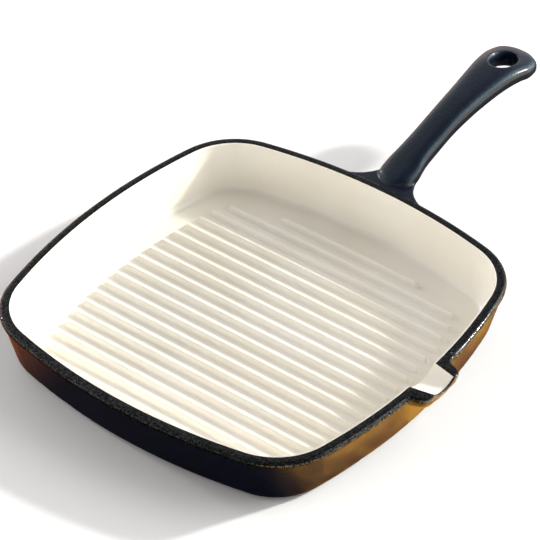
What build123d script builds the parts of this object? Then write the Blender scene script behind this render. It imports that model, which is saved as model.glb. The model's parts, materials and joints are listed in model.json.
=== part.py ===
from build123d import *
import os
from math import asin, atan, atan2, cos, degrees, pi, sin, sqrt, tan

# Square cast iron grill pan with enamel coats, in millimetres.
# The origin is the centre of the base's underside, +Z up, the handle towards +Y, the spout towards +X.

# The pan as a whole
rim_width = 260.0
pan_height = 37.6
side_bow_radius = 381.5
corner_radius = 47.0
coat = 0.4
overrun = 2.0

# The wall and its rim bead, placed by how far in they are from the outside of the bead
bead_radius = 2.5
bead_overhang = 1.5
base_inset = 9.7
knee_radius = 8.0
rim_land = 6.15
edge_roll_radius = 0.7
floor_inset = 12.1
floor_height = 4.3
cove_radius = 4.0

# The grill ribs
rib_count = 19
rib_height = 2.9
rib_half_width = 2.5
rib_crest_radius = 1.35
side_rib_margin = 22.1
rib_end_margin = 15.5

# The pouring spout
spout_reach = 9.9
spout_tip_half_width = 16.4
spout_root_half_width = 20.2
spout_root_radius = 5.0
spout_tip_radius = 3.0
spout_depth = 17.0
channel_root_half_width = 12.5
channel_root_depth = 6.5
channel_lip_half_width = 9.4
channel_lip_depth = 4.0
lip_wall = 1.9

# The handle
nose_gap = 4.0
grip_length = 149.0
grip_rise = 23.3
nose_drop = 5.3
grip_width = 36.0
grip_thickness = 14.0
web_half_width = 10.7
web_flare_radius = 28.5
web_top_drop = 2.5
web_root_drop = 14.0
web_length = 27.0
eye_length = 20.0
eye_width = 12.5
eye_mouth_length = 26.0
eye_mouth_width = 19.0
eye_mouth_depth = 4.0
eye_mouth_shift = 2.4
eye_from_end = 23.0

# Places along the grip with its middle's height, its half width and its half thickness there: shares
# of grip_length, grip_rise, half of grip_width and half of grip_thickness
grip_shares = [
    (0.110, 0.18, 0.700, 1.00),
    (0.180, 0.35, 0.625, 0.97),
    (0.280, 0.52, 0.600, 0.95),
    (0.380, 0.69, 0.600, 0.95),
    (0.485, 0.82, 0.640, 0.95),
    (0.587, 0.91, 0.700, 0.96),
    (0.690, 0.98, 0.790, 0.98),
    (0.770, 1.00, 0.875, 1.00),
    (0.835, 0.96, 0.945, 1.00),
    (0.885, 0.90, 0.990, 1.00),
]
# How far round each quarter turn the closing sections of the nose and of the end stand
closing_shares = (0.30, 0.55, 0.78, 0.94)
nose_end_share = 0.085
nose_height_share = 0.14
nose_width_share = 0.74
end_start_share = 0.905
end_start_height_share = 0.875
end_fall_share = 0.075
eye_height_share = 0.933
eye_lean = 0.19
section_points = 24
section_roundness = 0.72

# Worked out from the sizes above
half_width = rim_width / 2
bow_centre = side_bow_radius - half_width
centre_gap = side_bow_radius - corner_radius
corner_centre = (sqrt(2 * centre_gap**2 - bow_centre**2) - bow_centre) / 2
corner_lean = atan2(corner_centre, corner_centre + bow_centre)
bead_bottom = pan_height - 2 * bead_radius
wall_lean = atan((base_inset - bead_overhang) / bead_bottom)
lining_inset = rim_land + edge_roll_radius
lining_lean = atan((floor_inset - lining_inset) / (pan_height - floor_height))
knee_inset = base_inset + knee_radius * tan((pi / 2 - wall_lean) / 2)
cove_inset = floor_inset + cove_radius * tan((pi / 2 - lining_lean) / 2)
plate_inset = max(knee_inset, cove_inset)
floor_half = half_width - floor_inset
ribs_each_side = rib_count // 2
rib_pitch = (floor_half - side_rib_margin) / ribs_each_side
nose_y = half_width + nose_gap
nose_height = pan_height - nose_drop


# The outline: four wide side arcs and four corner arcs, tangent, so an inset only changes their radii

def outline_arcs():
    """Centre, radius at the outside of the bead, start angle and sweep of each arc, going round."""
    lean = degrees(corner_lean)
    for quarter in range(4):
        turn = 90 * quarter
        side = Vector(-bow_centre, 0).rotate(Axis.Z, turn)
        corner = Vector(corner_centre, corner_centre).rotate(Axis.Z, turn)
        yield side, side_bow_radius, turn - lean, 2 * lean
        yield corner, corner_radius, turn + lean, 90 - 2 * lean


def outline_face(inset):
    edges = [CenterArc(c, radius - inset, start, sweep) for c, radius, start, sweep in outline_arcs()]
    return make_face(edges)


def plate(inset, low, high):
    """A flat plate with the pan's outline, from one height to another."""
    return Pos(0, 0, low) * extrude(outline_face(inset), high - low)


def ring(section):
    """Carry a section, drawn as outward place and height, all the way round the outline."""
    sectors = []
    for centre, radius, start, sweep in outline_arcs():
        outward = Vector(1, 0, 0).rotate(Axis.Z, start)
        plane = Plane(origin=centre, x_dir=outward, z_dir=outward.cross(Vector(0, 0, 1)))
        sectors += revolve(plane * (Pos(radius, 0) * section), Axis(centre, (0, 0, 1)), sweep).solids()
    return sectors[0].fuse(*sectors[1:])


def outline_reach(across, inset):
    """How far along X the outline with this inset reaches at a place across it."""
    side_radius = side_bow_radius - inset
    corner = corner_radius - inset
    if across <= side_radius * sin(corner_lean):
        return sqrt(side_radius**2 - across**2) - bow_centre
    if across <= side_radius * cos(corner_lean) - bow_centre:
        return corner_centre + sqrt(corner**2 - (across - corner_centre) ** 2)
    return sqrt(side_radius**2 - (across + bow_centre) ** 2)


def block(low, high):
    """A box between two corners."""
    size = [b - a for a, b in zip(low, high)]
    middle = [(a + b) / 2 for a, b in zip(low, high)]
    return Pos(*middle) * Box(*size)


# The wall's section, as place outward from the bead's outside and height

def wall_section():
    inner_end = -plate_inset - overrun
    bead_middle = pan_height - bead_radius
    bead_foot = -base_inset + bead_middle * tan(wall_lean)
    points = [
        (inner_end, 0),
        (-base_inset, 0),
        (bead_foot, bead_middle),
        (-bead_radius, pan_height),
        (-lining_inset, pan_height),
        (-floor_inset, floor_height),
        (inner_end, floor_height),
    ]
    radii = [0, knee_radius, 0, 0, edge_roll_radius, cove_radius, 0]
    wall = make_face(FilletPolyline(*points, radius=radii, close=True))
    bead = Pos(-bead_radius, bead_middle) * Circle(bead_radius)
    return wall + bead


def between(inner, outer, low, high):
    """A window on the section between two insets and two heights."""
    return make_face(Polyline((-inner, low), (-outer, low), (-outer, high), (-inner, high), close=True))


def inside_of_wall():
    """The window on the section that holds the lining: it ends inside the iron."""
    return make_face(
        Polyline(
            (-plate_inset, floor_height / 2),
            (-(floor_inset + base_inset) / 2, floor_height),
            (-(rim_land + bead_overhang) / 2, bead_bottom),
            (-rim_land, bead_bottom),
            (-rim_land, pan_height),
            (-plate_inset, pan_height),
            close=True,
        )
    )


def wall_sections():
    """The iron and its three coats, cut off where the flat plate starts."""
    window = between(plate_inset, -overrun, -overrun, pan_height + overrun)
    whole = wall_section()
    iron = offset(whole, -coat) & window
    coats = (whole & window) - iron
    lining = coats & inside_of_wall()
    rim = coats & between(rim_land, -overrun, bead_bottom, pan_height + overrun)
    gloss = coats - lining - rim
    filled = iron + (inside_of_wall() & between(plate_inset, rim_land, 0, pan_height - coat))
    return {
        "iron": iron,
        "lining": lining,
        "rim": rim,
        "gloss": gloss,
        "whole": whole & window,
        "filled": filled,
    }


# The grill ribs

def rib_section(inset):
    """Half of a rib's section: place across it and height over the enamelled floor."""
    middle = rib_height - rib_crest_radius
    lean = atan2(middle, rib_half_width) + asin(rib_crest_radius / sqrt(middle**2 + rib_half_width**2))
    crest = rib_crest_radius - inset
    shoulder = Vector(crest * sin(lean), middle + crest * cos(lean))
    foot = Vector(shoulder.X + (shoulder.Y + inset) / tan(lean), -inset)
    rise = Vector(crest * sin(lean / 2), middle + crest * cos(lean / 2))
    top = Vector(0, middle + crest)
    outline = Polyline(top, (0, -inset), foot, shoulder) + ThreePointArc(shoulder, rise, top)
    return make_face(outline.edges())


def rib(place, inset):
    """One rib along X, with rounded ends that slope like its sides."""
    across = place * rib_pitch
    reach = outline_reach(abs(across) + rib_half_width, floor_inset + rib_end_margin)
    straight = reach - rib_half_width
    half = rib_section(inset)
    middle = Plane(origin=(-straight, across, floor_height), x_dir=(0, 1, 0), z_dir=(1, 0, 0))
    near = extrude(middle * half, 2 * straight)
    parts = [near, mirror(near, Plane.XZ.offset(-across))]
    for side in (-1, 1):
        axis = Axis((side * straight, across, 0), (0, 0, side))
        plane = Plane(origin=(side * straight, across, floor_height), x_dir=(0, -1, 0), z_dir=(-1, 0, 0))
        parts.append(revolve(plane * half, axis, 180))
    return parts[0].fuse(*parts[1:]).clean()


def rib_places():
    return range(-ribs_each_side, ribs_each_side + 1)


# The pouring spout: a band as tall as the rim bead, with a rounded belly under it

def spout_plan(inset):
    root = half_width - (rim_land + bead_radius) / 2
    bead_edge = outline_reach(spout_root_half_width + spout_root_radius, 0)
    side = [
        (root, spout_root_half_width + spout_root_radius),
        (bead_edge, spout_root_half_width + spout_root_radius),
        (outline_reach(spout_root_half_width, 0), spout_root_half_width),
        (half_width + spout_reach, spout_tip_half_width),
    ]
    points = side + [(x, -y) for x, y in reversed(side)]
    radii = [0, 0, spout_root_radius, spout_tip_radius, spout_tip_radius, spout_root_radius, 0, 0]
    return offset(make_face(FilletPolyline(*points, radius=radii, close=True)), -inset)


def spout_belly(inset):
    """The rounded underside: one rounded outline seen from the end, cut by another from the side."""
    root = half_width - lining_inset - overrun
    tip = half_width + spout_reach - lip_wall / 2 - inset
    depth = spout_depth - inset
    wide = spout_tip_half_width - lip_wall / 2 - inset
    low = pan_height - depth
    end_view = Plane.YZ * (Pos(0, pan_height) * Ellipse(wide, depth))
    side_view = Plane.XZ * (Pos(root, pan_height) * Ellipse(tip - root, depth))
    seen_from_end = Pos(root, 0, 0) * extrude(end_view, tip - root + overrun)
    seen_from_side = extrude(side_view, wide + overrun, both=True)
    low_corner = (root, -wide - overrun, low - overrun)
    window = block(low_corner, (tip + overrun, wide + overrun, bead_bottom + inset + overrun))
    return seen_from_end & seen_from_side & window


def spout_band(inset):
    tall = 2 * (bead_radius - inset)
    return Pos(0, 0, bead_bottom + inset) * extrude(spout_plan(inset), tall, dir=(0, 0, 1))


def channel_end(reach, inset):
    """The channel's section at a distance out from the pan's centre."""
    out = (reach - (half_width - rim_land)) / (spout_reach + rim_land - lip_wall)
    wide = channel_root_half_width + out * (channel_lip_half_width - channel_root_half_width) + inset
    deep = channel_root_depth + out * (channel_lip_depth - channel_root_depth) + inset
    arc = ThreePointArc((-wide, 0), (0, -deep), (wide, 0))
    lid = Polyline((wide, 0), (wide, overrun), (-wide, overrun), (-wide, 0))
    return Plane(origin=(reach, 0, pan_height), x_dir=(0, 1, 0), z_dir=(1, 0, 0)) * make_face(arc + lid)


def channel(inset):
    """The room in the spout's channel, grown on all sides by the inset."""
    start = half_width - floor_inset
    end = half_width + spout_reach + overrun
    return loft([channel_end(start, inset), channel_end(end, inset)], ruled=True)


# The handle: a flared web on the wall, and a grip with a hanging eye

def web(inset):
    """The bracket between wall and grip, narrowing to the grip in two wide concave curves."""
    start = half_width - lining_inset - overrun
    end = half_width + web_length
    flare_x = web_half_width + web_flare_radius
    flare_y = outline_reach(flare_x, 0) + web_flare_radius
    turn = Vector(flare_x, flare_y) - Vector(web_flare_radius, web_flare_radius) * cos(pi / 4)
    side = Polyline((0, start), (flare_x, start), (flare_x, flare_y - web_flare_radius))
    curve = ThreePointArc((flare_x, flare_y - web_flare_radius), turn, (web_half_width, flare_y))
    back = Polyline((web_half_width, flare_y), (web_half_width, end), (0, end), (0, start))
    half = make_face([*side.edges(), curve.edge(), *back.edges()])
    plan = offset(half + mirror(half, Plane.YZ), -inset)
    top, root = pan_height - web_top_drop, pan_height - web_root_drop
    profile = offset(make_face(Polyline((start, top), (end, top), (start, root), close=True)), -inset)
    return extrude(plan, pan_height, dir=(0, 0, 1)) & extrude(Plane.YZ * profile, flare_x, both=True)


def grip_stations():
    """Place, height, half width and half thickness of each section, nose first."""
    nose, end = [], []
    for share in closing_shares:
        along, size = sin(share * pi / 2), cos(share * pi / 2)
        lift = nose_height_share * (1 - along)
        nose.append((nose_end_share * (1 - along), lift, nose_width_share * size, sqrt(size)))
        place = end_start_share + (1 - end_start_share) * along
        fall = end_start_height_share - end_fall_share * along
        end.append((place, fall, size, sqrt(size)))
    return nose[::-1] + grip_shares + end


def grip_section(station, inset):
    place, height, wide, thick = station
    wide = wide * grip_width / 2 - inset
    thick = thick * grip_thickness / 2 - inset
    points = []
    for step in range(section_points):
        angle = 2 * pi * step / section_points
        x = abs(cos(angle)) ** section_roundness * (1 if cos(angle) > 0 else -1)
        z = abs(sin(angle)) ** section_roundness * (1 if sin(angle) > 0 else -1)
        points.append((wide * x, thick * z))
    face = make_face(Spline(*points, periodic=True))
    centre = (0, nose_y + place * grip_length, nose_height + height * grip_rise)
    return Plane(origin=centre, x_dir=(1, 0, 0), z_dir=(0, -1, 0)) * face


def eye(inset):
    """The hanging eye: an oval hole across the grip, its mouths sloping widest towards the pan."""
    through = Ellipse(eye_width / 2 + inset, eye_length / 2 + inset)
    mouth = Ellipse(eye_mouth_width / 2 + inset, eye_mouth_length / 2 + inset)
    surface = grip_thickness / 2
    height = nose_height + eye_height_share * grip_rise
    centre = (0, nose_y + grip_length - eye_from_end, height)
    across = Plane(origin=centre, x_dir=(1, 0, 0), z_dir=(0, sin(eye_lean), cos(eye_lean)))
    hole = extrude(through, surface + overrun, both=True)
    opened = Pos(0, -eye_mouth_shift, surface) * mouth
    slope = loft([Pos(0, 0, surface - eye_mouth_depth) * through, opened], ruled=True)
    upper = slope + extrude(opened, overrun)
    return across * (hole + upper + mirror(upper, Plane.XY))


def grip(inset):
    return loft([grip_section(station, inset) for station in grip_stations()]) - eye(inset)


def ribs_and_lining():
    """The iron ribs, and the cream coat over them and the floor."""
    iron = {f"grill_rib_{place + ribs_each_side + 1:02d}": rib(place, coat) for place in rib_places()}
    floor = plate(plate_inset, floor_height - coat, floor_height)
    covered = floor.fuse(*[rib(place, 0) for place in rib_places()])
    return iron | {"cream_floor_enamel": covered.cut(*iron.values())}


def build():
    os.makedirs("parts", exist_ok=True)
    rings = {name: ring(section) for name, section in wall_sections().items()}
    filled = rings["filled"]
    air, groove = channel(0), channel(coat)
    spout_skin = spout_band(0) + spout_belly(0)
    spout_outside = spout_skin - filled
    spout_open = spout_outside - groove
    spout_coat = spout_open - spout_band(coat) - spout_belly(coat)
    spout_gloss = spout_coat - block((0, -half_width, bead_bottom), (rim_width, half_width, rim_width))
    web_iron, grip_iron = web(coat), grip(coat)
    handle_skin = web(0) + grip(0)

    nodes = {
        "base_plate": plate(plate_inset, coat, floor_height - coat),
        "side_wall": rings["iron"] - groove,
        "pouring_spout": spout_open - spout_coat,
        "handle_web": web_iron - filled,
        "handle_grip": grip_iron - web_iron,
        "cream_wall_enamel": rings["lining"] - groove,
        "cream_spout_enamel": (groove - air) & (rings["whole"] + spout_outside),
        "black_rim_enamel": rings["rim"] - spout_skin - handle_skin - groove + (spout_coat - spout_gloss),
        "gloss_wall_enamel": rings["gloss"] - spout_skin - handle_skin,
        "gloss_spout_enamel": spout_gloss,
        "gloss_handle_enamel": handle_skin - filled - (web_iron + grip_iron),
        "base_enamel": plate(plate_inset, 0, coat),
    }
    for name, solid in (nodes | ribs_and_lining()).items():
        export_step(solid, os.path.join("parts", name + ".step"))


build()
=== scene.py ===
"""The enamelled cast iron grill pan: its finishes, its detailed pieces, the camera and the light."""
import json
import math

import bmesh
import bpy
from mathutils import Matrix, Vector


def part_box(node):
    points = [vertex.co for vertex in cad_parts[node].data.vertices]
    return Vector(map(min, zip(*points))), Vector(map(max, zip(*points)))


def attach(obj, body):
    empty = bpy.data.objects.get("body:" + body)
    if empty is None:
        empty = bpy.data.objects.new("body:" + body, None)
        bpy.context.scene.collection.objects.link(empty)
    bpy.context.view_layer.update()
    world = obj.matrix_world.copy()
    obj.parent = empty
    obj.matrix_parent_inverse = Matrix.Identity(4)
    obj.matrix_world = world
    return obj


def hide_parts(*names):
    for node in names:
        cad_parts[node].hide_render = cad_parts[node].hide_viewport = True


MM = 0.001
WELD = 0.001 * MM
MIRROR = Vector((1, -1))

# The view: the picture's scale and the camera's place, fitted to the pan's rim, base and ribs
PICTURE = 540
SENSOR = 36.0
FOCAL_PIXELS = 2994.74
TURN = math.radians(38.024)
TILT = math.radians(39.59)
CAMERA_DISTANCE = 1789.49 * MM
CAMERA_RIGHT = 9.41 * MM
CAMERA_UP = 12.07 * MM

# The light: a low bright lamp from behind the handle, a weak one from the pan's left, and a pale room that
# is dim overhead, brighter along its horizon, and glows on both lamps' sides. A glow's spread is the cosine
# of the angle where it ends, and the horizon fades between two sines of the height above it.
SUN_TOWARDS = Vector((1.2, 1.8, 1.0)).normalized()
SUN_STRENGTH = 3.6
SUN_ANGLE = math.radians(4.5)
SUN_TINT = (1.0, 0.985, 0.95)
SIDE_TOWARDS = Vector((-0.95, -0.05, 0.27)).normalized()
SIDE_STRENGTH = 0.7
SIDE_ANGLE = math.radians(6)
SIDE_TINT = (1.0, 0.97, 1.0)
GLOW_TOWARDS = Vector((0.56, 0.70, 0.44)).normalized()
FILL_TOWARDS = Vector((-0.90, -0.15, 0.35)).normalized()
GLOW_SPREAD = 0.76
FILL_SPREAD = 0.4
HORIZON_BAND = (0.15, 0.6)
ROOM_DIM = 0.25
ROOM_HORIZON = 0.80
ROOM_GLOW = 3.2
ROOM_FILL = 0.8
ROOM_TINT = (1.0, 0.975, 0.96, 1.0)
GLOW_TINT = (0.98, 0.99, 1.0, 1.0)

# The stage: a pale floor, and on it a card that only the gloss coat's reflections see. The card is a
# painted reflection that glows though it is no lamp: amber as a painted sunlit table, nearly black as
# painted shadow. Its bands are the places across it where one colour gives way to the next.
FLOOR_REACH = 4.0
CARD_LIFT = 0.1 * MM
CARD_REACH = 0.7
PAINTED_REFLECTION_GLOW = 3.0
CARD_GRAIN = 26 * MM
CARD_SQUEEZE = (2.2, 0.7, 1)
CARD_PALE_BAND = (135 * MM, 175 * MM)
# Where the card's painted shadow gives way to its painted sunlit amber
PAINTED_SHADOW_EDGE_BAND = (100 * MM, 145 * MM)
CARD_RED_BAND = (60 * MM, 150 * MM)

# The finishes' lumps and grains: how wide they are, and how deep the bumps are that they make
CREAM_DRIFT = 60 * MM
CREAM_POLISH = 14 * MM
CREAM_PEEL = 5 * MM
CREAM_DEPTH = 0.02 * MM
BLACK_SPECK = 0.95 * MM
BLACK_PATCH = 1.8 * MM
BLACK_GRAIN = 1.0 * MM
BLACK_DEPTH = 0.3 * MM
GLOSS_DRIFT = 30 * MM
GLOSS_POLISH = 6 * MM
GLOSS_PEEL = 4 * MM
GLOSS_FINE = 1.0 * MM
GLOSS_DEPTH = 0.35 * MM
IRON_SAND = 1.2 * MM
IRON_DEPTH = 0.15 * MM

# The pan's outline: four bowed sides and four corners, all arcs; an inset shrinks every radius
SIDE_RADIUS = 381.5 * MM
CORNER_RADIUS = 47.0 * MM

# The black rim: a flat land with a round outer edge, and the spout's two arms and lip
RIM_LAND = 6.15 * MM
RIM_EDGE = 2.5 * MM
RIM_INNER_EDGE = 0.6 * MM
RIM_LEAST_LAND = 0.05 * MM
RIM_TUCK = 0.6 * MM
RIM_STEP = 3.0 * MM
RIM_INNER_STEPS = 4
RIM_OUTER_STEPS = 7
RIM_UNDER_STEPS = 5
ARM_ROOT = 20.2 * MM
ARM_ROOT_RUN = 5.0 * MM
ARM_ROOT_CURVE = 4.5 * MM
ARM_TIP = 16.4 * MM
ARM_TIP_CURVE = 7.5 * MM
ARM_EDGE = 1.9 * MM
ARM_STATIONS = 40
CHANNEL_ROOT = 12.85 * MM
CHANNEL_LIP = 9.75 * MM
CHANNEL_DEPTH = 3.35 * MM
CHANNEL_CORNER = 1.4 * MM
LIP_WALL = 1.0 * MM
LIP_EDGE = 0.45 * MM
LIP_RECESS = 0.4 * MM
LIP_STATIONS = 12
AT_LIP = 0.01 * MM

# The cream channel in the spout, from the lining out to the lip
CHANNEL_DROP = 6.5 * MM
CHANNEL_LIP_DROP = 4.0 * MM
CHANNEL_ROWS = 40
CHANNEL_COLUMNS = 48
CHANNEL_TRIES = 6
LINING_INSET = 6.85 * MM
LINING_SLOPE = 0.1577

# The gloss belly under the spout: it wraps the lip and swells out of the wall below it
BELLY_ROOT_INSET = 8.85 * MM
BELLY_DEPTH = 17.0 * MM
BELLY_PROUD = 0.38 * MM
BELLY_SUNK = -0.4 * MM
BELLY_EDGE = 0.6 * MM
BELLY_EDGE_STEPS = 5
BELLY_UNDER_LIP = 0.35 * MM
BELLY_FADE = 4.0 * MM
BELLY_LEVELS = 28

# The ribbed cream floor
FLOOR_INSET = 15.7 * MM
FLOOR_HEIGHT = 4.3 * MM
FLOOR_ROW = 0.5 * MM
FLOOR_COLUMNS = 160
RIB_COUNT = 19
RIB_PITCH = 10.64 * MM
RIB_HEIGHT = 3.2 * MM
RIB_HALF_WIDTH = 2.5 * MM
RIB_CREST = 1.25 * MM
RIB_FOOT = 0.95 * MM
RIB_END_INSET = 27.6 * MM

# The handle: the grip's sections from nose to end, a flared web under its nose, and the hanging eye
NOSE_GAP = 4.0 * MM
NOSE_HEIGHT = 32.3 * MM
GRIP_LENGTH = 149.0 * MM
GRIP_RISE = 23.3 * MM
GRIP_WIDTH = 36.0 * MM
GRIP_THICKNESS = 14.0 * MM
GRIP_INSET = 0.15 * MM
# Places along the grip with its middle's height, its half width and its half thickness there: shares
# of the grip's length, of its rise, of half its width and of half its thickness
GRIP_SHARES = [
    (0.110, 0.18, 0.700, 1.00),
    (0.180, 0.35, 0.625, 0.97),
    (0.280, 0.52, 0.600, 0.95),
    (0.380, 0.69, 0.600, 0.95),
    (0.485, 0.82, 0.640, 0.95),
    (0.587, 0.91, 0.700, 0.96),
    (0.690, 0.98, 0.790, 0.98),
    (0.770, 1.00, 0.875, 1.00),
    (0.835, 0.96, 0.945, 1.00),
    (0.885, 0.90, 0.990, 1.00),
]
CLOSING_SHARES = (0.30, 0.55, 0.78, 0.94)
NOSE_END_SHARE = 0.085
NOSE_HEIGHT_SHARE = 0.14
NOSE_WIDTH_SHARE = 0.74
END_START_SHARE = 0.905
END_HEIGHT_SHARE = 0.875
END_FALL_SHARE = 0.075
GRIP_ROUNDNESS = 0.70
GRIP_POINTS = 72
GRIP_STEPS = 6
WEB_HALF_WIDTH = 10.7 * MM
WEB_FLARE = 28.5 * MM
WEB_TOP = 35.1 * MM
WEB_ROOT = 23.6 * MM
WEB_LENGTH = 27.0 * MM
WEB_SUNK = 3.5 * MM
WEB_THINNEST = 1.0 * MM
WEB_STEPS = 24
WEB_FLANK = 31.5 * MM
WEB_CORE_SHARE = 0.25
EYE_FROM_END = 23.0 * MM
EYE_HEIGHT_SHARE = 0.933
EYE_LEAN = 0.19
EYE_LENGTH = 21.0 * MM
EYE_WIDTH = 13.6 * MM
EYE_MOUTH_LENGTH = 27.0 * MM
EYE_MOUTH_WIDTH = 20.0 * MM
EYE_LEVELS = 10
EYE_MOUTH_SHIFT = 3.2 * MM
EYE_UNDER_SHIFT = 5.0 * MM
EYE_UNDER_GROWTH = 4.0 * MM
EYE_OVERRUN = 2.0 * MM
HANDLE_VOXEL = 0.5 * MM
HANDLE_SMOOTHINGS = 5
JUNCTION_SMOOTHINGS = 3
JUNCTION_REACH = 24.0 * MM
JUNCTION_FADE = 12.0 * MM


class Wire:
    """A socket's value: arithmetic on it adds the Math nodes that work it out."""

    def __init__(self, shader, socket):
        self.shader, self.socket = shader, socket

    def _math(self, operation, *values):
        return self.shader.node("ShaderNodeMath", {"operation": operation}, dict(enumerate(values)))

    def __add__(self, other):
        return self._math("ADD", self, other)

    def __sub__(self, other):
        return self._math("SUBTRACT", self, other)

    def __mul__(self, other):
        return self._math("MULTIPLY", self, other)

    def __rsub__(self, other):
        return self._math("SUBTRACT", other, self)

    __radd__ = __add__
    __rmul__ = __mul__

    def over(self, low, high):
        """0 below low, 1 above high, smooth between."""
        settings = {"interpolation_type": "SMOOTHSTEP"}
        return self.shader.node("ShaderNodeMapRange", settings, {0: self, 1: low, 2: high})


class Shader:
    """A node material: every node in it comes from the one method, node."""

    def __init__(self, name, kind="materials"):
        self.material = getattr(bpy.data, kind).new(name)
        self.material.use_nodes = True
        self.tree = self.material.node_tree
        self.tree.nodes.clear()

    def node(self, kind, settings=None, sockets=None, output=0):
        made = self.tree.nodes.new(kind)
        for name, value in (settings or {}).items():
            setattr(made, name, value)
        for key, value in (sockets or {}).items():
            if isinstance(value, Wire):
                self.tree.links.new(value.socket, made.inputs[key])
            else:
                made.inputs[key].default_value = value
        return Wire(self, made.outputs[output]) if len(made.outputs) else made

    def place(self):
        """The point on the object, in metres."""
        return self.node("ShaderNodeTexCoord", output="Object")

    def along(self, direction, point=None):
        """How far a point lies along a direction."""
        sockets = {0: point or self.place(), 1: direction}
        return self.node("ShaderNodeVectorMath", {"operation": "DOT_PRODUCT"}, sockets, output="Value")

    def noise(self, size, detail=2.0, roughness=0.5, squeeze=(1, 1, 1)):
        """Soft random values from 0 to 1, with lumps about as wide as size, squeezed along each axis."""
        point = self.node("ShaderNodeVectorMath", {"operation": "MULTIPLY"}, {0: self.place(), 1: squeeze})
        sockets = {"Vector": point, "Scale": 1 / size, "Detail": detail, "Roughness": roughness}
        return self.node("ShaderNodeTexNoise", {}, sockets)

    def grains(self, size):
        """Distance from the nearest of many scattered points, 0 at a point."""
        sockets = {"Vector": self.place(), "Scale": 1 / size}
        return self.node("ShaderNodeTexVoronoi", {"feature": "F1"}, sockets)

    def blend(self, amount, first, second):
        """A colour between two, which the Mix node takes at sockets 6 and 7 and gives at output 2."""
        sockets = {0: amount, 6: first, 7: second}
        return self.node("ShaderNodeMix", {"data_type": "RGBA"}, sockets, output=2)

    def bump(self, height, depth):
        """A normal that follows a height from 0 to 1, as deep as depth in metres."""
        return self.node("ShaderNodeBump", {}, {"Height": height, "Strength": 1.0, "Distance": depth})

    def surface(self, **sockets):
        """Close the material with one Principled surface; names are the sockets' names."""
        named = {key.replace("_", " "): value for key, value in sockets.items()}
        shaded = self.node("ShaderNodeBsdfPrincipled", {}, named)
        self.node("ShaderNodeOutputMaterial", {}, {"Surface": shaded})
        return self.material


def colour(red, green, blue):
    """A colour written as it looks on screen, 0 to 255."""
    linear = []
    for value in (red, green, blue):
        share = value / 255
        linear.append(share / 12.92 if share <= 0.04045 else ((share + 0.055) / 1.055) ** 2.4)
    return (*linear, 1.0)


def cream_enamel():
    """Glossy cream glass enamel with a faint orange peel and a slow drift of tint."""
    shader = Shader("cream_enamel")
    drift = shader.noise(CREAM_DRIFT, 3).over(0.35, 0.65)
    return shader.surface(
        Base_Color=shader.blend(drift, colour(243, 239, 229), colour(239, 234, 221)),
        Roughness=shader.noise(CREAM_POLISH) * 0.08 + 0.14,
        Normal=shader.bump(shader.noise(CREAM_PEEL), CREAM_DEPTH),
        Specular_IOR_Level=0.5,
    )


def matt_black_enamel():
    """Matt black enamel, coarse grained, with pale specks."""
    shader = Shader("matt_black_enamel")
    speck = 1 - shader.grains(BLACK_SPECK).over(0.18, 0.42)
    amount = speck * shader.noise(BLACK_PATCH).over(0.38, 0.62)
    grain = shader.noise(BLACK_GRAIN, 3, 0.7)
    return shader.surface(
        Base_Color=shader.blend(amount, colour(2, 3, 4), colour(48, 54, 60)),
        Roughness=grain * 0.25 + 0.2,
        Specular_IOR_Level=0.05,
        Coat_Weight=grain.over(0.46, 0.58),
        Coat_Roughness=0.14,
        Normal=shader.bump(grain + speck * 0.3, BLACK_DEPTH),
    )


def dark_gloss_enamel():
    """Deep navy gloss enamel: clear gloss over a fine grain that glints teal towards the light."""
    shader = Shader("dark_gloss_enamel")
    drift = shader.noise(GLOSS_DRIFT, 3).over(0.35, 0.7)
    peel = shader.noise(GLOSS_PEEL)
    fine = shader.noise(GLOSS_FINE, 2, 0.6)
    return shader.surface(
        Base_Color=shader.blend(drift, colour(6, 9, 27), colour(8, 12, 33)),
        Roughness=shader.noise(GLOSS_POLISH, 3) * 0.12 + 0.3,
        Specular_IOR_Level=0.2,
        Specular_Tint=(0.33, 0.78, 1.0, 1.0),
        Coat_Weight=0.42,
        Coat_Roughness=0.17,
        Normal=shader.bump(peel * 0.4 + fine, GLOSS_DEPTH),
    )


def bare_iron():
    """Grey as-cast iron under the coats."""
    shader = Shader("cast_iron")
    sand = shader.noise(IRON_SAND, 4, 0.65)
    return shader.surface(
        Base_Color=shader.blend(sand.over(0.3, 0.7), colour(58, 58, 60), colour(96, 95, 96)),
        Metallic=0.7,
        Roughness=sand * 0.3 + 0.5,
        Normal=shader.bump(sand, IRON_DEPTH),
    )


def pale_floor():
    """The pale floor, which keeps the pan's soft shadow."""
    shader = Shader("pale_floor")
    return shader.surface(Base_Color=colour(250, 250, 249), Roughness=0.9, Specular_IOR_Level=0.2)


def painted_reflection_card():
    """A painted reflection: amber beside the spout as a painted sunlit table, almost black before the front
    wall as painted shadow, red-brown at the far left.
    """
    shader = Shader("painted_reflection_card")
    across = shader.along((1, 0, 0))
    grain = shader.noise(CARD_GRAIN, 4, 0.65, CARD_SQUEEZE).over(0.38, 0.6)
    # Painted sunlit reflection: amber with a wood grain, paling beyond the spout
    near = shader.blend(grain, colour(255, 182, 56), colour(150, 92, 26))
    amber = shader.blend(across.over(*CARD_PALE_BAND), near, colour(255, 226, 170))
    # Painted shadow: nearly black before the front wall, fading to a dimmer red-brown painted reflection at
    # the far left
    dark = shader.blend((0 - across).over(*CARD_RED_BAND), colour(14, 9, 6), colour(122, 66, 32))
    tint = shader.blend(across.over(*PAINTED_SHADOW_EDGE_BAND), dark, amber)
    # The card glows with its painted colour, as painted light in the gloss reflections; it is no lamp
    return shader.surface(Base_Color=tint, Roughness=0.7, Emission_Color=tint, Emission_Strength=PAINTED_REFLECTION_GLOW)


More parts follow.
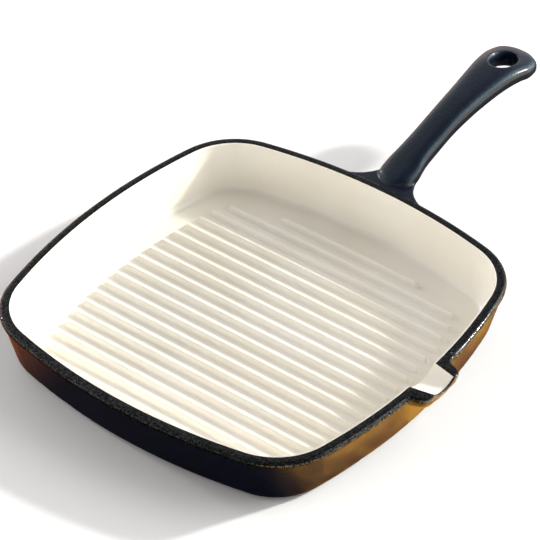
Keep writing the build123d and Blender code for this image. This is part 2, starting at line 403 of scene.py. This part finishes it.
def lay_flat(name, reach, height, material):
    """A flat square on the stage."""
    signs = ((-1, -1), (1, -1), (1, 1), (-1, 1))
    mesh = bpy.data.meshes.new(name)
    mesh.from_pydata([(reach * x, reach * y, height) for x, y in signs], [], [(0, 1, 2, 3)])
    mesh.materials.append(material)
    flat = bpy.data.objects.new(name, mesh)
    bpy.context.scene.collection.objects.link(flat)
    return flat


def make_stage():
    """The floor and the glowing card of painted reflection, which only glossy rays see."""
    lay_flat("floor", FLOOR_REACH, 0, pale_floor())
    card = lay_flat("painted_reflection_card", CARD_REACH, CARD_LIFT, painted_reflection_card())
    for ray in ("camera", "diffuse", "transmission", "volume_scatter", "shadow"):
        setattr(card, f"visible_{ray}", False)


def make_camera(rim_height):
    """The camera, aimed past the middle of the pan's mouth."""
    back = Vector((math.sin(TURN) * math.cos(TILT), -math.cos(TURN) * math.cos(TILT), math.sin(TILT)))
    right = Vector((math.cos(TURN), math.sin(TURN), 0))
    up = back.cross(right)
    place = back * CAMERA_DISTANCE + right * CAMERA_RIGHT + up * CAMERA_UP + Vector((0, 0, rim_height))
    data = bpy.data.cameras.new("camera")
    data.sensor_width = SENSOR
    data.lens = FOCAL_PIXELS * SENSOR / PICTURE
    camera = bpy.data.objects.new("camera", data)
    camera.matrix_world = Matrix.Translation(place) @ Matrix((right, up, back)).transposed().to_4x4()
    bpy.context.scene.collection.objects.link(camera)
    bpy.context.scene.camera = camera


def make_room():
    """The pale room, a little warm all round."""
    shader = Shader("room", "worlds")
    towards = shader.node("ShaderNodeTexCoord", output="Generated")
    horizon = 1 - shader.along((0, 0, 1), towards).over(*HORIZON_BAND)
    glow = shader.along(GLOW_TOWARDS, towards).over(GLOW_SPREAD, 1)
    fill = shader.along(FILL_TOWARDS, towards).over(FILL_SPREAD, 1)
    tint = shader.blend(glow, ROOM_TINT, GLOW_TINT)
    strength = horizon * ROOM_HORIZON + glow * ROOM_GLOW + fill * ROOM_FILL + ROOM_DIM
    background = shader.node("ShaderNodeBackground", {}, {"Color": tint, "Strength": strength})
    shader.node("ShaderNodeOutputWorld", {}, {"Surface": background})
    return shader.material


def make_lamp(name, towards, strength, angle, tint):
    """A far lamp in a direction: its angle is how wide it looks from the pan."""
    data = bpy.data.lights.new(name, "SUN")
    data.energy = strength
    data.angle = angle
    data.color = tint
    lamp = bpy.data.objects.new(name, data)
    lamp.rotation_mode = "QUATERNION"
    lamp.rotation_quaternion = towards.to_track_quat("Z", "Y")
    bpy.context.scene.collection.objects.link(lamp)


def make_light():
    """Both lamps and the room."""
    make_lamp("low_lamp", SUN_TOWARDS, SUN_STRENGTH, SUN_ANGLE, SUN_TINT)
    make_lamp("side_lamp", SIDE_TOWARDS, SIDE_STRENGTH, SIDE_ANGLE, SIDE_TINT)
    bpy.context.scene.world = make_room()


class Outline:
    """The pan's outline in plan, walked by its arcs."""

    def __init__(self, half_width):
        self.bow = SIDE_RADIUS - half_width
        gap = SIDE_RADIUS - CORNER_RADIUS
        self.corner = (math.sqrt(2 * gap**2 - self.bow**2) - self.bow) / 2
        self.lean = math.atan2(self.corner, self.corner + self.bow)

    def walk(self, start, step):
        """Outward direction and outside point all the way round, but for the start angle at each end."""
        for quarter in range(5):
            turn = quarter * math.pi / 2
            side, corner = Vector((-self.bow, 0)), Vector((self.corner, self.corner))
            low = start if quarter == 0 else -self.lean
            high = -start if quarter == 4 else self.lean
            yield from self._arc(side, SIDE_RADIUS, low, high, turn, step)
            if quarter < 4:
                yield from self._arc(corner, CORNER_RADIUS, self.lean, math.pi / 2 - self.lean, turn, step)

    @staticmethod
    def _arc(centre, radius, low, high, turn, step):
        count = max(2, round((high - low) * radius / step))
        spin = Matrix.Rotation(turn, 2)
        for place in range(count):
            angle = low + (high - low) * place / count
            outward = Vector((math.cos(angle), math.sin(angle)))
            yield spin @ outward, spin @ (centre + outward * radius)

    def reach(self, across, inset=0.0):
        """How far the outline reaches at a place across it."""
        across = abs(across)
        side, corner = SIDE_RADIUS - inset, CORNER_RADIUS - inset
        if across <= side * math.sin(self.lean):
            return math.sqrt(side**2 - across**2) - self.bow
        if across <= side * math.cos(self.lean) - self.bow:
            return self.corner + math.sqrt(max(0, corner**2 - (across - self.corner) ** 2))
        return math.sqrt(max(0, side**2 - (across + self.bow) ** 2))


def kept_share(value):
    """A value kept from 0 to 1."""
    return max(0.0, min(1.0, value))


def eased(value):
    """A value kept from 0 to 1, slow to leave either end."""
    share = kept_share(value)
    return share**2 * (3 - 2 * share)


def quarter_turn(count):
    """Sine and cosine of the angles of a quarter turn."""
    for step in range(count + 1):
        angle = math.pi / 2 * step / count
        yield math.sin(angle), math.cos(angle)


def rim_section(width, top, bottom, inner, outer):
    """Points across the rim, from inside to outside: place along the width, and height."""
    low = bottom + RIM_TUCK
    points = [(0, low)]
    points += [(inner * (1 - c), top - inner * (1 - s)) for s, c in quarter_turn(RIM_INNER_STEPS)]
    points += [(width - outer * (1 - s), top - outer * (1 - c)) for s, c in quarter_turn(RIM_OUTER_STEPS)]
    under = min(outer, (top - bottom) / 2)
    below = [(width - under * (1 - c), bottom + under * (1 - s)) for s, c in quarter_turn(RIM_UNDER_STEPS)]
    return points + below[1:]


def along_path(points, count):
    """Points at even distances along a run of points."""
    lengths = [0.0]
    for a, b in zip(points, points[1:]):
        lengths.append(lengths[-1] + (b - a).length)
    for step in range(count):
        wanted = lengths[-1] * step / (count - 1)
        place = max(i for i, length in enumerate(lengths[:-1]) if length <= wanted or i == 0)
        share = (wanted - lengths[place]) / max(lengths[place + 1] - lengths[place], 1e-9)
        yield points[place].lerp(points[place + 1], share)


def rounded(before, corner, after, radius, count=8):
    """The points of a corner rounded between two neighbours."""
    into, out = (before - corner).normalized(), (after - corner).normalized()
    half = into.angle(out) / 2
    setback = radius / math.tan(half)
    centre = corner + (into + out).normalized() * radius / math.sin(half)
    first, last = corner + into * setback - centre, corner + out * setback - centre
    return [centre + first.slerp(last, step / count).normalized() * radius for step in range(count + 1)]


def spout_stations(outline, half_width, reach):
    """Inner and outer edge of one arm of the spout, from the rim out to its tip, then half the lip."""
    start = ARM_ROOT + ARM_ROOT_RUN
    rim_point = Vector((outline.reach(start), start))
    root = Vector((outline.reach(ARM_ROOT), ARM_ROOT))
    tip = Vector((half_width + reach, ARM_TIP))
    front = Vector((half_width + reach, 0))
    bend = rounded(rim_point, root, tip, ARM_ROOT_CURVE)
    turn = rounded(root, tip, front, ARM_TIP_CURVE)
    inner_start = Vector((outline.reach(start, RIM_LAND), start))
    inner_corner = Vector((outline.reach(CHANNEL_ROOT, RIM_LAND), CHANNEL_ROOT))
    inner_tip = Vector((half_width + reach - LIP_WALL, CHANNEL_LIP))
    inner_bend = rounded(inner_start, inner_corner, inner_tip, CHANNEL_CORNER)
    outer = [rim_point, *bend, turn[0]]
    inner = [inner_start, *inner_bend, inner_tip]
    arm = list(zip(along_path(inner, ARM_STATIONS), along_path(outer, ARM_STATIONS)))
    corner = [(inner_tip, point) for point in turn[1:]]
    lip = []
    for step in range(1, LIP_STATIONS + 1):
        across = turn[-1].y * (1 - step / LIP_STATIONS)
        lip.append((Vector((inner_tip.x, min(across, CHANNEL_LIP))), Vector((front.x, across))))
    return arm + corner + lip


def lip_height(across, top):
    """How high the lip stands: the channel's round bottom between its two edges."""
    radius = (CHANNEL_LIP**2 + CHANNEL_DEPTH**2) / (2 * CHANNEL_DEPTH)
    if abs(across) >= CHANNEL_LIP:
        return top
    return top - CHANNEL_DEPTH + radius - math.sqrt(radius**2 - across**2)


def skin(name, rows, ring=False, loop=False, shut=False):
    """A smooth skin over rows of points: each row a ring, the rows a closed loop, or both ends shut."""
    count, size = len(rows), len(rows[0])
    faces = []
    if shut:
        faces += [tuple(range(size)), tuple(range((count - 1) * size, count * size))]
    for i in range(count if loop else count - 1):
        here, there = i * size, (i + 1) % count * size
        for k in range(size if ring else size - 1):
            after = (k + 1) % size
            faces.append((here + k, there + k, there + after, here + after))
    mesh = bpy.data.meshes.new(name)
    mesh.from_pydata([point for row in rows for point in row], [], faces)
    work = bmesh.new()
    work.from_mesh(mesh)
    bmesh.ops.remove_doubles(work, verts=work.verts, dist=WELD)
    bmesh.ops.recalc_face_normals(work, faces=work.faces)
    for face in work.faces:
        face.smooth = True
    work.to_mesh(mesh)
    work.free()
    made = bpy.data.objects.new(name, mesh)
    bpy.context.scene.collection.objects.link(made)
    return made


def make_rim(outline):
    """The black rim with the spout's arms and lip, as one skin."""
    low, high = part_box("black_rim_enamel")
    half_width, top, bottom = -low.y, high.z, low.z
    front = high.x - LIP_RECESS
    spout = spout_stations(outline, half_width, front - half_width)
    mirrored = [(a * MIRROR, b * MIRROR) for a, b in spout]
    start = math.asin((ARM_ROOT + ARM_ROOT_RUN) / SIDE_RADIUS)
    plain = [(point - outward * RIM_LAND, point) for outward, point in outline.walk(start, RIM_STEP)]
    rings = []
    for inside, outside in [*spout[::-1], *plain, *mirrored[:-1]]:
        width = (outside - inside).length
        out = kept_share((outside.x - half_width) / (high.x - half_width))
        height, edge = top, RIM_EDGE + (ARM_EDGE - RIM_EDGE) * out
        if abs(outside.x - front) < AT_LIP:
            height, edge = lip_height(inside.y, top), LIP_EDGE
        inner = min(RIM_INNER_EDGE, width / 3)
        edge = min(edge, width - inner - RIM_LEAST_LAND, (height - bottom) / 2)
        ring = []
        for along, up in rim_section(width, height, bottom, inner, edge):
            point = inside.lerp(outside, along / width)
            ring.append((point.x, point.y, up))
        rings.append(ring)
    return skin("black_rim", rings, ring=True, loop=True)


def make_channel(outline):
    """The cream channel: a round trough that narrows and rises from the pan's lining to the lip."""
    low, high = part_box("black_rim_enamel")
    half_width, top = -low.y, high.z
    start, end = half_width - RIM_LAND, high.x - LIP_RECESS - LIP_WALL / 2

    def trough(x, share):
        out = (x - start) / (end - start)
        wide = CHANNEL_ROOT + out * (CHANNEL_LIP - CHANNEL_ROOT)
        deep = CHANNEL_DROP + out * (CHANNEL_LIP_DROP - CHANNEL_DROP)
        radius = (wide**2 + deep**2) / (2 * deep)
        across = wide * share
        return across, top - deep + radius - math.sqrt(radius**2 - across**2)

    columns = []
    for column in range(CHANNEL_COLUMNS + 1):
        share = 2 * column / CHANNEL_COLUMNS - 1
        inner = start
        for _ in range(CHANNEL_TRIES):
            across, z = trough(inner, share)
            inner = outline.reach(across, LINING_INSET + (top - z) * LINING_SLOPE)
        points = []
        for row in range(CHANNEL_ROWS + 1):
            x = inner + (end - inner) * row / CHANNEL_ROWS
            points.append((x, *trough(x, share)))
        columns.append(points)
    return skin("cream_channel", columns)


def make_belly(outline):
    """The spout's gloss underside, from the edge of the lip down into the wall."""
    low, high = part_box("black_rim_enamel")
    half_width, top = -low.y, high.z
    arm = [outside for _, outside in spout_stations(outline, half_width, high.x - half_width - LIP_RECESS)]
    arm = [point for point in arm if point.x > half_width]
    path = arm + [point * MIRROR for point in arm[-2::-1]]
    root = Vector((half_width - BELLY_ROOT_INSET, 0))
    rows = []
    for i, point in enumerate(path):
        run = path[min(i + 1, len(path) - 1)] - path[max(i - 1, 0)]
        outward = Vector((-run.y, run.x)).normalized()
        share = eased((point.x - half_width - BELLY_FADE) / BELLY_FADE)
        edge = point + outward * (BELLY_SUNK + (BELLY_PROUD - BELLY_SUNK) * share)
        start = lip_height(point.y, top) - BELLY_UNDER_LIP
        start += (top - RIM_EDGE - start) * (1 - share)
        row = []
        for sine, cosine in quarter_turn(BELLY_EDGE_STEPS):
            inset = edge - outward * BELLY_EDGE * (1 - sine)
            row.append((inset.x, inset.y, start - BELLY_EDGE * (1 - cosine)))
        drop = start - BELLY_EDGE - (top - BELLY_DEPTH)
        full = math.sqrt(1 - ((top - start + BELLY_EDGE) / BELLY_DEPTH) ** 2)
        for level in range(1, BELLY_LEVELS + 1):
            z = start - BELLY_EDGE - drop * math.sin(level / BELLY_LEVELS * math.pi / 2)
            size = math.sqrt(max(0.0, 1 - ((top - z) / BELLY_DEPTH) ** 2)) / full
            place = root + (edge - root) * size
            row.append((place.x, place.y, z))
        rows.append(row)
    return skin("spout_belly", rows)


def rib_profile(distance):
    """The rib's height at a distance from its crest line; negative past its foot."""
    middle = RIB_HEIGHT - RIB_CREST
    span = math.sqrt(middle**2 + RIB_HALF_WIDTH**2)
    lean = math.atan2(middle, RIB_HALF_WIDTH) + math.asin(RIB_CREST / span)
    if distance < RIB_CREST * math.sin(lean):
        return middle + math.sqrt(RIB_CREST**2 - distance**2)
    return (RIB_HALF_WIDTH - distance) * math.tan(lean)


def floor_height(x, y, outline):
    """The enamelled floor's height: nineteen ribs with soft feet."""
    nearest = max(-(RIB_COUNT // 2), min(RIB_COUNT // 2, round(y / RIB_PITCH)))
    middle = nearest * RIB_PITCH
    end = outline.reach(abs(middle) + RIB_HALF_WIDTH, RIB_END_INSET) - RIB_HALF_WIDTH
    distance = math.hypot(max(0.0, abs(x) - end), y - middle)
    rise = rib_profile(distance)
    soft = (rise + math.sqrt(rise**2 + RIB_FOOT**2)) / 2
    return FLOOR_HEIGHT + soft * RIB_HEIGHT / (RIB_HEIGHT + RIB_FOOT**2 / RIB_HEIGHT / 4)


def make_floor_skin(outline, half_width):
    """The cream floor as one skin, in rows across the ribs, with closer points near the ribs' ends."""
    far = half_width - FLOOR_INSET
    count = 2 * round(far / FLOOR_ROW)
    rows = []
    for place in range(count + 1):
        y = far * (2 * place / count - 1)
        reach = outline.reach(y, FLOOR_INSET)
        row = []
        for column in range(FLOOR_COLUMNS + 1):
            x = reach * math.sin(math.pi / 2 * (2 * column / FLOOR_COLUMNS - 1))
            row.append((x, y, floor_height(x, y, outline)))
        rows.append(row)
    return skin("cream_floor", rows)


def smooth_between(before, first, second, after, share):
    """A point on the smooth run through four neighbouring stations, between the middle two."""
    values = []
    for a, b, c, d in zip(before, first, second, after):
        slope, bend, twist = c - a, 2 * a - 5 * b + 4 * c - d, 3 * (b - c) + d - a
        values.append(b + share * (slope + share * (bend + share * twist)) / 2)
    return values


def grip_stations():
    """Place, height, half width and half thickness of each section, nose first, as shares."""
    nose, end = [], []
    for share in CLOSING_SHARES:
        along, size = math.sin(share * math.pi / 2), math.cos(share * math.pi / 2)
        thick = math.sqrt(size)
        place, height = NOSE_END_SHARE * (1 - along), NOSE_HEIGHT_SHARE * (1 - along)
        nose.append((place, height, NOSE_WIDTH_SHARE * size, thick))
        place = END_START_SHARE + (1 - END_START_SHARE) * along
        end.append((place, END_HEIGHT_SHARE - END_FALL_SHARE * along, size, thick))
    rough = nose[::-1] + GRIP_SHARES + end
    fine = []
    for i in range(len(rough) - 1):
        run = rough[max(i - 1, 0)], rough[i], rough[i + 1], rough[min(i + 2, len(rough) - 1)]
        fine += [smooth_between(*run, step / GRIP_STEPS) for step in range(GRIP_STEPS)]
    return fine + [rough[-1]]


def grip_ring(station, nose_y):
    """One section of the grip: a soft box, upright."""
    place, height, wide, thick = station
    wide, thick = wide * GRIP_WIDTH / 2 - GRIP_INSET, thick * GRIP_THICKNESS / 2 - GRIP_INSET
    ring = []
    for step in range(GRIP_POINTS):
        angle = 2 * math.pi * step / GRIP_POINTS
        x = math.copysign(abs(math.cos(angle)) ** GRIP_ROUNDNESS, math.cos(angle))
        z = math.copysign(abs(math.sin(angle)) ** GRIP_ROUNDNESS, math.sin(angle))
        ring.append((wide * x, nose_y + place * GRIP_LENGTH, NOSE_HEIGHT + height * GRIP_RISE + thick * z))
    return ring


def web_mesh(outline, half_width):
    """The bracket: its sides curve in to the grip, and its underside rises towards grip and flanks."""
    flare_x = WEB_HALF_WIDTH + WEB_FLARE
    flare_y = outline.reach(flare_x) + WEB_FLARE
    root, end = half_width - WEB_SUNK, half_width + WEB_LENGTH
    side = [(flare_x - WEB_FLARE * s, flare_y - WEB_FLARE * c) for s, c in quarter_turn(WEB_STEPS)]
    side.append((WEB_HALF_WIDTH / 2, end))
    plan = side + [(0, end)] + [(-x, y) for x, y in reversed(side)]
    rings = []
    for x, outer in plan:
        flank = eased((abs(x) / flare_x - WEB_CORE_SHARE) / (1 - WEB_CORE_SHARE))
        inner = outline.reach(x) - WEB_SUNK
        ring = []
        for y in (inner, outer):
            low = min(WEB_TOP - WEB_THINNEST, WEB_ROOT + (WEB_TOP - WEB_ROOT) * (y - root) / (end - root))
            ring.append((x, y, low + max(0.0, WEB_FLANK - low) * flank))
        rings.append([*ring, (x, outer, WEB_TOP), (x, inner, WEB_TOP)])
    return skin("web", rings, ring=True, shut=True)


def eye_cutter(nose_y):
    """The hanging eye's room: an oval whose upper mouth leans to the pan, its lower to the grip's end."""
    surface = GRIP_THICKNESS / 2
    levels = [surface * step / EYE_LEVELS for step in range(-EYE_LEVELS, EYE_LEVELS + 1)]
    levels = [-surface - EYE_OVERRUN, *levels, surface + EYE_OVERRUN]
    up = Vector((0, math.sin(EYE_LEAN), math.cos(EYE_LEAN)))
    along = Vector((0, math.cos(EYE_LEAN), -math.sin(EYE_LEAN)))
    middle_y = nose_y + GRIP_LENGTH - EYE_FROM_END
    centre = Vector((0, middle_y, NOSE_HEIGHT + EYE_HEIGHT_SHARE * GRIP_RISE))
    rings = []
    for level in levels:
        opened = min(1.0, abs(level) / surface)
        round_off = (opened**2 + 1 - math.sqrt(1 - opened**2)) / 2
        growth, shift = (0, -EYE_MOUTH_SHIFT) if level > 0 else (EYE_UNDER_GROWTH, EYE_UNDER_SHIFT)
        wide = (EYE_WIDTH + (EYE_MOUTH_WIDTH + growth - EYE_WIDTH) * round_off) / 2
        long = (EYE_LENGTH + (EYE_MOUTH_LENGTH + growth - EYE_LENGTH) * round_off) / 2
        middle = centre + up * level + along * shift * round_off
        ring = []
        for step in range(GRIP_POINTS):
            angle = 2 * math.pi * step / GRIP_POINTS
            point = middle + along * long * math.sin(angle)
            ring.append((wide * math.cos(angle), point.y, point.z))
        rings.append(ring)
    return skin("eye_cutter", rings, ring=True, shut=True)


def modify(piece, kind, **settings):
    """Add a modifier with its settings."""
    made = piece.modifiers.new(kind.lower(), kind)
    for name, value in settings.items():
        setattr(made, name, value)


def bake(piece):
    """Turn a piece's modifiers into plain mesh."""
    seen = piece.evaluated_get(bpy.context.evaluated_depsgraph_get())
    mesh = bpy.data.meshes.new_from_object(seen)
    piece.modifiers.clear()
    piece.data = mesh


def make_handle(outline, half_width):
    """The grip and its web in one skin, softened where they meet."""
    nose_y = half_width + NOSE_GAP
    sections = [grip_ring(station, nose_y) for station in grip_stations()]
    piece = skin("handle", sections, ring=True, shut=True)
    web = web_mesh(outline, half_width)
    cutter = eye_cutter(nose_y)
    modify(piece, "BOOLEAN", operation="UNION", solver="EXACT", object=web)
    modify(piece, "BOOLEAN", operation="DIFFERENCE", solver="EXACT", object=cutter)
    modify(piece, "REMESH", mode="VOXEL", voxel_size=HANDLE_VOXEL, use_smooth_shade=True)
    modify(piece, "SMOOTH", factor=0.5, iterations=HANDLE_SMOOTHINGS)
    bake(piece)
    junction = piece.vertex_groups.new(name="junction")
    for vertex in piece.data.vertices:
        near = kept_share((nose_y + JUNCTION_REACH - vertex.co.y) / JUNCTION_FADE)
        if near:
            junction.add([vertex.index], near, "REPLACE")
    modify(piece, "SMOOTH", factor=0.5, iterations=JUNCTION_SMOOTHINGS, vertex_group="junction")
    bake(piece)
    for scrap in (web, cutter):
        bpy.data.objects.remove(scrap)
    return piece


def place_piece(piece, finish, slot, *nodes):
    """Give a piece its finish, hang it on the root body, and hide the CAD nodes that it is drawn in place
    of.
    """
    piece.data.materials.append(finish)
    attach(piece, "root")
    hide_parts(*nodes)


def dress(node, finish):
    """Give a CAD node its finish."""
    node.data.materials.clear()
    node.data.materials.append(finish)


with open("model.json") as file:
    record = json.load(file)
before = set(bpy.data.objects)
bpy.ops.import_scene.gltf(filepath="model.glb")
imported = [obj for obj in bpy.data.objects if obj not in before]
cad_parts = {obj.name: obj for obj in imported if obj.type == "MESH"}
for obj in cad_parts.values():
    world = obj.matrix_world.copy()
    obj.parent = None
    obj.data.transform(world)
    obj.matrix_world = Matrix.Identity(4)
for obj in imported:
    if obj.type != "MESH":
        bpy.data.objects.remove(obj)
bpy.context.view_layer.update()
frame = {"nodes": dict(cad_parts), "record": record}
finishes = {
    "cast_iron": bare_iron(),
    "cream_enamel": cream_enamel(),
    "matt_black_enamel": matt_black_enamel(),
    "dark_gloss_enamel": dark_gloss_enamel(),
}
for subpart in frame["record"]["subparts"]:
    dress(frame["nodes"][subpart["node"]], finishes[subpart["material_slot"]])
# The bracket's underside rises at its flanks and bares a strip of the wall, which is glazed like the rest.
dress(frame["nodes"]["side_wall"], finishes["dark_gloss_enamel"])
pan_half_width = -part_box("black_rim_enamel")[0].y
pan_outline = Outline(pan_half_width)
rim = make_rim(pan_outline)
place_piece(rim, finishes["matt_black_enamel"], "matt_black_enamel", "black_rim_enamel", "pouring_spout")
belly = make_belly(pan_outline)
place_piece(belly, finishes["dark_gloss_enamel"], "dark_gloss_enamel", "gloss_spout_enamel")
channel = make_channel(pan_outline)
place_piece(channel, finishes["cream_enamel"], "cream_enamel", "cream_spout_enamel")
floor_skin = make_floor_skin(pan_outline, pan_half_width)
place_piece(floor_skin, finishes["cream_enamel"], "cream_enamel", "cream_floor_enamel")
handle = make_handle(pan_outline, pan_half_width)
handle_nodes = ("gloss_handle_enamel", "handle_grip", "handle_web")
place_piece(handle, finishes["dark_gloss_enamel"], "dark_gloss_enamel", *handle_nodes)
make_camera(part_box("black_rim_enamel")[1].z)
make_light()
make_stage()
bpy.context.scene.view_settings.view_transform = "Standard"
